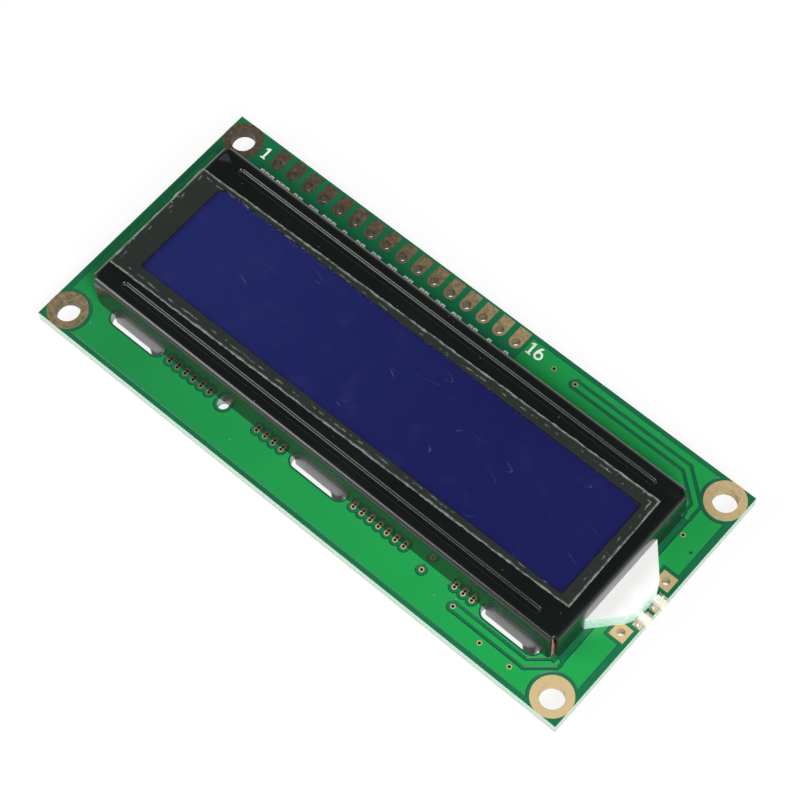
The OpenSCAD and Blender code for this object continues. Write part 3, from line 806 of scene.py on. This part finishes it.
@dataclass
class Bezel:
    """Folded sheet steel bezel, with its grooves, legs and twisted tabs.

    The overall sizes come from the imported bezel, all in millimetres.

    Attributes:
        window_shift: how far it sits off the middle.
        groove_inset: distance of its middle from the bezel's side.
        groove_slope: part of its half width that slopes.
        groove_rings: distances from its middle line at which the faces meet.
        tab_middle: distance of a tab from the middle of its slot.
        notch_play: room round the horn in its notch.
        shoulder: height of the first row of faces under the top.
    """

    material: Material
    sheet: float = 0.4
    fold_r: float = 0.7
    window: Spot = (64.2, 14.1)
    window_r: float = 1.1
    window_shift: float = 0.25
    groove_end: float = 3.6
    groove_half: float = 0.5
    groove_depth: float = 0.3
    groove_inset: float = 1.9
    groove_slope: float = 0.72
    groove_rings: tuple[float, ...] = (0.56, 0.50, 0.44, 0.38, 0.32, 0.26, 0.20, 0.14)
    wall_corner: float = 0.8
    slot_pitch: float = 28.9
    leg_half: float = 3.7
    tab_middle: float = 1.9
    tab_half: float = 1.6
    tab_turn: float = 50.0
    notch_play: float = 0.15
    shoulder: float = 1.6
    window_step: float = 1.6
    wall_step: float = 2.0
    corner_parts: int = 8
    fold_rows: int = 7
    corner_rows: int = 4
    leg_rows: int = 3
    tab_rows: int = 14
    edge_round: float = 0.04
    points: list[Point] = field(default_factory=list)
    faces: list[Face] = field(default_factory=list)

    def measure(self) -> None:
        """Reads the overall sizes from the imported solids."""
        low, high = node_box("bezel")
        _, pads = node_box("terminal_pads")
        # the twisted tabs stand out further than the walls, so the walls are measured over the board
        wall = [v.co.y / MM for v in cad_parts["bezel"].data.vertices if v.co.z / MM > pads.z + 1]
        self.x0, self.x1, self.y0, self.y1 = low.x, high.x, min(wall), max(wall)
        self.top, self.foot, self.tab_foot = high.z, pads.z, low.z
        self.cx, self.cy = (self.x0 + self.x1) / 2, (self.y0 + self.y1) / 2
        horn_low, horn_high = node_box("horn_cover")
        self.notch_top = horn_high.z + self.notch_play
        self.notch_low, self.notch_high = horn_low.y - self.notch_play, horn_high.y + self.notch_play

    def groove_distance(self, x: float, y: float) -> float:
        """Distance from the nearest groove's middle line."""
        half = (self.x1 - self.x0) / 2 - self.groove_end - self.groove_half
        side = (self.y1 - self.y0) / 2 - self.groove_inset
        return math.hypot(max(abs(x - self.cx) - half, 0.0), abs(y - self.cy) - side)

    def face_height(self, x: float, y: float) -> float:
        """Height of the face, pressed down in the grooves."""
        inside = self.groove_half - self.groove_distance(x, y)
        t = min(max(inside / (self.groove_slope * self.groove_half), 0.0), 1.0)
        return self.top - self.groove_depth * t * t * (3 - 2 * t)

    def rounded(self, half_x: float, half_y: float, radius: float, shift: float = 0.0) -> list[Spot]:
        """A rectangle's outline with round corners.

        Args:
            half_x: half its length.
            half_y: half its width.
            radius: of the corners.
            shift: moves it along the length.

        Returns:
            Its corners, counter-clockwise.
        """
        ring: list[Spot] = []
        for turn, (sx, sy) in enumerate(((1, 1), (-1, 1), (-1, -1), (1, -1))):
            for k in range(self.corner_parts + 1):
                angle = math.pi / 2 * (turn + k / self.corner_parts)
                ring.append((self.cx + shift + sx * (half_x - radius) + radius * math.cos(angle),
                             self.cy + sy * (half_y - radius) + radius * math.sin(angle)))
        return ring

    def spread(self, ring: Sequence[Spot]) -> list[Spot]:
        """Adds points to the long stretches of a closed outline."""
        full: list[Spot] = []
        for one, two in zip(ring, list(ring[1:]) + [ring[0]]):
            dx, dy = two[0] - one[0], two[1] - one[1]
            count = max(1, math.ceil(math.hypot(dx, dy) / self.window_step))
            full.extend((one[0] + dx * k / count, one[1] + dy * k / count) for k in range(count))
        return full

    def face(self, border: list[Spot]) -> None:
        """Makes the top face round the window, with both grooves.

        Args:
            border: the fold line round the face.
        """
        spots: list[Vector] = []
        edges: list[tuple[int, int]] = []

        def ring(points: Sequence[Spot]) -> None:
            """Adds a closed line that the faces keep to."""
            start = len(spots)
            spots.extend(Vector(p) for p in points)
            edges.extend((start + i, start + (i + 1) % len(points)) for i in range(len(points)))

        ring(border)
        hx, hy, r = self.window[0] / 2, self.window[1] / 2, self.window_r
        ring(self.spread(self.rounded(hx, hy, r, self.window_shift)))
        half = (self.x1 - self.x0) / 2 - self.groove_end
        side = (self.y1 - self.y0) / 2 - self.groove_inset
        for sign in (-1, 1):
            for away in self.groove_rings:
                # a radius just under the half width keeps the ends from closing on one point
                outline = self.rounded(half - self.groove_half + away, away, away * 0.999)
                ring(self.spread([(x, y + sign * side) for x, y in outline]))
        corners, _, triangles, *_ = delaunay_2d_cdt(spots, edges, [], 0, 1e-6)
        start = len(self.points)
        self.points.extend((v.x, v.y, self.face_height(v.x, v.y)) for v in corners)
        for three in triangles:
            x = sum(corners[i].x for i in three) / 3 - self.cx - self.window_shift
            y = sum(corners[i].y for i in three) / 3 - self.cy
            dx, dy = max(abs(x) - hx + r, 0.0), max(abs(y) - hy + r, 0.0)
            if math.hypot(dx, dy) < r and abs(x) < hx and abs(y) < hy:
                continue
            one, two, last = (corners[i] for i in three)
            turn = (two - one).cross(last - one)
            if abs(turn) > 1e-7:
                self.faces.append(tuple(start + i for i in (three if turn > 0 else reversed(three))))

    def stations(self, half: float, keep: Sequence[float]) -> list[float]:
        """Places along a wall where its faces meet.

        Args:
            half: half the wall's length.
            keep: places that must be among them.

        Returns:
            The places in order.
        """
        parts = 6
        ends = [half - self.wall_corner * (1 - math.cos(math.pi / 2 * k / parts)) for k in range(parts + 1)]
        places = {round(v, 5) for v in [*ends, *(-v for v in ends), *keep]}
        ordered = sorted(places)
        full = []
        for one, two in zip(ordered, ordered[1:]):
            count = max(1, math.ceil((two - one) / self.wall_step))
            full.extend(one + (two - one) * k / count for k in range(count))
        return full + [ordered[-1]]

    def wall(self, way: tuple[int, int], half: float, middle: float, across: float) -> list[Spot]:
        """Makes one fold and the wall, legs and tabs under it.

        Args:
            way: the direction in which the wall looks.
            half: half the wall's length.
            middle: where its middle lies along it.
            across: where its outer face lies.

        Returns:
            The fold line's points on the face, in the order of the wall's stations.
        """
        nx, ny = way
        long_wall = nx == 0
        slots = [k * self.slot_pitch - middle for k in (-1, 0, 1)] if long_wall else []
        notch = (self.notch_low - middle, self.notch_high - middle) if nx > 0 else None
        edges = (-self.leg_half, self.leg_half, self.tab_middle - self.tab_half,
                 self.tab_middle + self.tab_half, self.tab_middle)
        keep = [s + d for s in slots for d in edges]
        places = self.stations(half, keep + list(notch or ()))
        levels = [(self.top - self.fold_r * (1 - math.cos(a)), self.fold_r * (1 - math.sin(a)))
                  for a in (math.pi / 2 * k / self.fold_rows for k in range(self.fold_rows + 1))]
        round_top = self.foot + self.wall_corner
        levels += [(z, 0.0) for z in (self.top - self.shoulder, self.notch_top, round_top)]
        levels += [(round_top - self.wall_corner * k / self.corner_rows, 0.0)
                   for k in range(1, self.corner_rows + 1)]
        wall_rows = len(levels) - 1
        if slots:
            levels += [(self.foot * (1 - k / self.leg_rows), 0.0) for k in range(1, self.leg_rows + 1)]
        leg_rows = len(levels) - 1
        if slots:
            levels += [(self.tab_foot * k / self.tab_rows, 0.0) for k in range(1, self.tab_rows + 1)]
        start = len(self.points)
        for u in places:
            # the foot of the wall rises towards its ends
            r = self.wall_corner
            ease = max(r - (half - abs(u)), 0.0)
            lift = r - math.sqrt(max(r ** 2 - ease ** 2, 0))
            for row, (z, inward) in enumerate(levels):
                if z < round_top and row <= wall_rows:
                    z = round_top - (round_top - z) * (1 - lift / r)
                at, out = u, across - inward
                if row > leg_rows:
                    near = min(slots, key=lambda s: abs(u - s - self.tab_middle)) + self.tab_middle
                    share = (row - leg_rows) / self.tab_rows
                    angle = math.radians(self.tab_turn) * share
                    arm, depth = u - near, self.sheet / 2
                    at = near + arm * math.cos(angle) - depth * math.sin(angle)
                    out = across - depth + depth * math.cos(angle) + arm * math.sin(angle)
                if long_wall:
                    self.points.append((middle + at, ny * out, z))
                else:
                    self.points.append((nx * out, middle + at, z))
        rows = len(levels)
        flip = (ny > 0) if long_wall else (nx < 0)
        for i, (one, two) in enumerate(zip(places, places[1:])):
            mid = (one + two) / 2
            slot = min((abs(mid - s) for s in slots), default=1e9)
            tab = min((abs(mid - s - self.tab_middle) for s in slots), default=1e9)
            for row in range(rows - 1):
                low_edge = levels[row + 1][0]
                over_horn = notch and notch[0] < mid < notch[1] and low_edge < self.notch_top - 1e-6
                if row < wall_rows and over_horn:
                    continue
                if wall_rows <= row < leg_rows and slot > self.leg_half:
                    continue
                if row >= leg_rows and tab > self.tab_half:
                    continue
                a, b = start + i * rows + row, start + (i + 1) * rows + row
                quad = (a, a + 1, b + 1, b)
                self.faces.append(tuple(reversed(quad)) if flip else quad)
        first = self.points[start::rows][:len(places)]
        return [(p[0], p[1]) for p in first]

    def build(self) -> bpy.types.Object:
        """Makes the whole bezel.

        Returns:
            The piece.
        """
        self.measure()
        hx, hy = (self.x1 - self.x0) / 2 - self.fold_r, (self.y1 - self.y0) / 2 - self.fold_r
        front = self.wall((0, -1), hx, self.cx, -self.y0)
        right = self.wall((1, 0), hy, self.cy, self.x1)
        rear = self.wall((0, 1), hx, self.cx, self.y1)
        left = self.wall((-1, 0), hy, self.cy, -self.x0)
        border = front[:-1] + right[:-1] + rear[:0:-1] + left[:0:-1]
        self.face(border)
        made = piece("sheet_steel_bezel", self.points, self.faces, self.material,
                     weld=0.002, stands_for=("bezel",))
        shell = made.modifiers.new("shell", "SOLIDIFY")
        shell.thickness, shell.offset, shell.use_even_offset = self.sheet * MM, -1.0, True
        soft = made.modifiers.new("soft_edges", "BEVEL")
        soft.width, soft.segments, soft.limit_method = self.edge_round * MM, 2, "ANGLE"
        soft.angle_limit, soft.use_clamp_overlap = math.radians(50), False
        settle(made, 40)
        return made


# ---- film


@dataclass
class Film:
    """The loose protective film on the display, with its waves and bubbles.

    Sizes are in millimetres, the turn is in degrees.

    Attributes:
        ridge: distance from its long edges and width of the swollen strip there.
        bubble: place and squared size of the bubble at its free end.
        bite: depth of the wavy cut at its first end.
        fray: how uneven its long edges are.
    """

    middle: Spot = (-1.1, -0.5)
    half: Spot = (34.55, 8.25)
    turn: float = 1.0
    step: float = 0.4
    thickness: float = 0.012
    lift: float = 0.004
    wave: float = 0.045
    ridge: Spot = (0.7, 0.35)
    bubble: Point = (32.6, 1.2, 1.1)
    bite: float = 0.16
    fray: float = 0.05
    seed: int = 7

    def height(self, u: float, v: float) -> float:
        """Height of the sheet over the bezel, in millimetres."""
        swell = math.sin(u * 0.9 + 2 * math.sin(v * 0.6)) * math.sin(v * 1.1 + 1.3 * math.sin(u * 0.35))
        inset, width = self.ridge
        ridge = math.exp(-((abs(v) - self.half[1] + inset) / width) ** 2) * (0.5 + 0.5 * math.sin(u * 1.9))
        at_u, at_v, size = self.bubble
        tip = math.exp(-((u - at_u) ** 2 + (v - at_v) ** 2) / size)
        return self.lift + self.wave * (0.35 + 0.3 * swell + 0.3 * ridge + 0.25 * tip)

    def build(self) -> bpy.types.Object:
        """Makes the film.

        Returns:
            The piece.
        """
        low, _ = node_box("protective_film")
        c, s = math.cos(math.radians(self.turn)), math.sin(math.radians(self.turn))
        nu, nv = round(2 * self.half[0] / self.step), round(2 * self.half[1] / self.step)
        rng = random.Random(self.seed)
        uneven = [rng.uniform(-self.fray, self.fray) for _ in range(nu + 1)]
        points: list[Point] = []
        for i in range(nu + 1):
            for j in range(nv + 1):
                u, v = self.half[0] * (2 * i / nu - 1), self.half[1] * (2 * j / nv - 1)
                if i == 0:
                    u += self.bite * abs(math.sin(v * 0.9)) + self.fray * math.sin(v * 3.1)
                if j in (0, nv):
                    v += uneven[i]
                points.append((self.middle[0] + u * c - v * s, self.middle[1] + u * s + v * c,
                               low.z + self.height(u, v)))
        rows = nv + 1
        faces = [(i * rows + j, (i + 1) * rows + j, (i + 1) * rows + j + 1, i * rows + j + 1)
                 for i in range(nu) for j in range(nv)]
        material = ClearFilm(self.middle, self.half, self.turn).build()
        made = piece("loose_film", points, faces, material, stands_for=("protective_film",))
        shell = made.modifiers.new("shell", "SOLIDIFY")
        shell.thickness, shell.offset = self.thickness * MM, 1.0
        settle(made, 60)
        return made


# ---- studio


@dataclass
class Studio:
    """Floor, light and camera round the module.

    Attributes:
        paper: colour of the floor where light falls on it.
        white: colour of the floor and room where they are looked at.
        paper_white: how much of that white the floor shows.
        room: brightness of the room, from the horizon up.
        key: place, side and power of the main lamp.
        fill: the same of the second lamp.
    """

    camera_at: Colour = (0.093738, -0.093082, 0.270732)
    camera_right: Colour = (0.75323, 0.65706, -0.03043)
    camera_up: Colour = (-0.57999, 0.68528, 0.44048)
    camera_back: Colour = (0.31027, -0.31413, 0.89725)
    lens_mm: float = 115.455
    sensor_mm: float = 36.0
    near_and_far: Spot = (0.01, 10.0)
    floor_half: float = 3.0
    paper: Colour = (0.86, 0.86, 0.86)
    white: Colour = (1.0, 1.0, 1.0)
    paper_white: float = 0.88
    room: tuple[tuple[float, Colour], ...] = (
        (0.0, (0.90, 0.90, 0.90)), (0.40, (0.46, 0.46, 0.46)),
        (0.70, (0.05, 0.05, 0.052)), (1.0, (0.03, 0.03, 0.032)))
    key: tuple[Point, float, float] = ((0.50, -0.30, 0.70), 0.35, 9.0)
    fill: tuple[Point, float, float] = ((-0.45, -0.60, 0.60), 0.5, 4.5)

    def camera(self) -> None:
        """Places the camera."""
        data = bpy.data.cameras.new("camera")
        data.lens, data.sensor_width = self.lens_mm, self.sensor_mm
        data.clip_start, data.clip_end = self.near_and_far
        made = bpy.data.objects.new("camera", data)
        turn = Matrix((self.camera_right, self.camera_up, self.camera_back)).transposed().to_4x4()
        made.matrix_world = Matrix.Translation(self.camera_at) @ turn
        bpy.context.scene.collection.objects.link(made)
        bpy.context.scene.camera = made

    def lamp(self, name: str, at: Point, size: float, power: float) -> None:
        """Hangs one soft square lamp that faces the module.

        Args:
            name: the lamp's name.
            at: where it hangs.
            size: length of its side.
            power: in watts.
        """
        data = bpy.data.lights.new(name, "AREA")
        data.shape, data.size, data.energy = "SQUARE", size, power
        made = bpy.data.objects.new(name, data)
        made.location = at
        made.rotation_euler = (-Vector(at)).to_track_quat("-Z", "Y").to_euler()
        bpy.context.scene.collection.objects.link(made)

    def floor(self, level: float) -> None:
        """Lays the pale floor.

        Args:
            level: height of the lowest point of the module.
        """
        h = self.floor_half
        mesh = bpy.data.meshes.new("floor")
        corners = [(-h, -h, level), (h, -h, level), (h, h, level), (-h, h, level)]
        mesh.from_pydata(corners, [], [(0, 1, 2, 3)])
        made = bpy.data.objects.new("floor", mesh)
        bpy.context.scene.collection.objects.link(made)
        g = Graph.named("floor_paper")
        path = g.node("LightPath")
        seen = Sock(g, path.outputs["Is Camera Ray"]).top(Sock(g, path.outputs["Is Glossy Ray"]))
        seen = seen.top(Sock(g, path.outputs["Is Transmission Ray"]))
        paper = g.node("BsdfDiffuse", None, {"Color": self.paper})
        light = g.node("Emission", None, {"Color": self.white, "Strength": 1.0})
        mix = g.node("MixShader", None, {0: seen * self.paper_white})
        g.tree.links.new(paper.outputs[0], mix.inputs[1])
        g.tree.links.new(light.outputs[0], mix.inputs[2])
        out = g.node("OutputMaterial")
        g.tree.links.new(mix.outputs[0], out.inputs[0])
        mesh.materials.append(g.owner)
        made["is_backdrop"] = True

    def sky(self) -> None:
        """Lights the room: pale round the horizon and dim overhead, white where it is looked at."""
        world = bpy.data.worlds.new("room")
        bpy.context.scene.world = world
        g = Graph(world)
        way = Sock(g, g.node("TexCoord").outputs["Generated"])
        split = g.node("SeparateXYZ", None, {0: way})
        rise = Sock(g, split.outputs[2])
        dim = g.node("ValToRGB", {"stops": self.room}, {0: rise})
        seen = Sock(g, g.node("LightPath").outputs["Is Camera Ray"])
        shade = g.blend(seen, Sock(g, dim.outputs[0]), self.white)
        back = g.node("Background", None, {"Color": shade, "Strength": 1.0})
        out = g.node("OutputWorld")
        g.tree.links.new(back.outputs[0], out.inputs[0])

    def build(self, lowest: float) -> None:
        """Sets the whole studio up.

        Args:
            lowest: height of the module's lowest point.
        """
        scene = bpy.context.scene
        scene.view_settings.view_transform = "Standard"
        self.sky()
        self.floor(lowest)
        self.lamp("key", *self.key)
        self.lamp("fill", *self.fill)
        LOG.info("studio: floor at %.4f", lowest)


# ---- the module


def main() -> None:
    """Builds the display module and its studio."""
    logging.basicConfig(level=logging.INFO, format="%(name)s %(message)s")
    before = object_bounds()
    studio = Studio()
    studio.camera()
    laminate = GreenMask(Mask.LAMINATE).build()
    copper = GreenMask(Mask.COPPER).build()
    plated = PlatedCopper().build()
    lacquer = BlackLacquer().build()
    blue = BluePolariser().build()
    rubber = StripedRubber().build()
    even = {finish: finish.value.build() for finish in Finish}
    plan: dict[str, Material] = {
        "circuit_board": laminate, "copper_pour": copper, "rear_copper": copper,
        "mounting_rings": plated, "terminal_pads": plated, "via_rings": plated,
        "supply_pads": plated, "lamp_pads": plated,
        "pin_numbers": even[Finish.PRINT], "pin_marks": even[Finish.PRINT],
        "front_contact_strip": rubber, "rear_contact_strip": rubber,
        "front_glass": even[Finish.GLASS], "rear_glass": even[Finish.GLASS],
        "cell_seal": even[Finish.RESIN], "end_seal": even[Finish.RESIN],
        "liquid_layer": even[Finish.LIQUID], "front_polariser": blue, "rear_polariser": blue,
        "reflector_film": even[Finish.WHITE], "diffuser_film": even[Finish.WHITE],
        "horn_cover": even[Finish.WHITE], "light_guide": even[Finish.ACRYLIC],
        "lamps": even[Finish.LAMP], "lamp_leads": even[Finish.TIN],
        "solder_joints": even[Finish.TIN], "bezel": lacquer,
        "protective_film": even[Finish.GLASS],
        "driver_cover": even[Finish.COVER], "controller_cover": even[Finish.COVER],
        "chip_resistors": even[Finish.RESISTOR], "chip_capacitors": even[Finish.CAPACITOR],
        "chip_ends": even[Finish.TIN],
    }
    for node, material in plan.items():
        dress(node, material)
    BoardTrim().build()
    Bezel(lacquer).build()
    Film().build()
    low, _ = before
    studio.build(low.z)


if __name__ == "__main__":
    main()
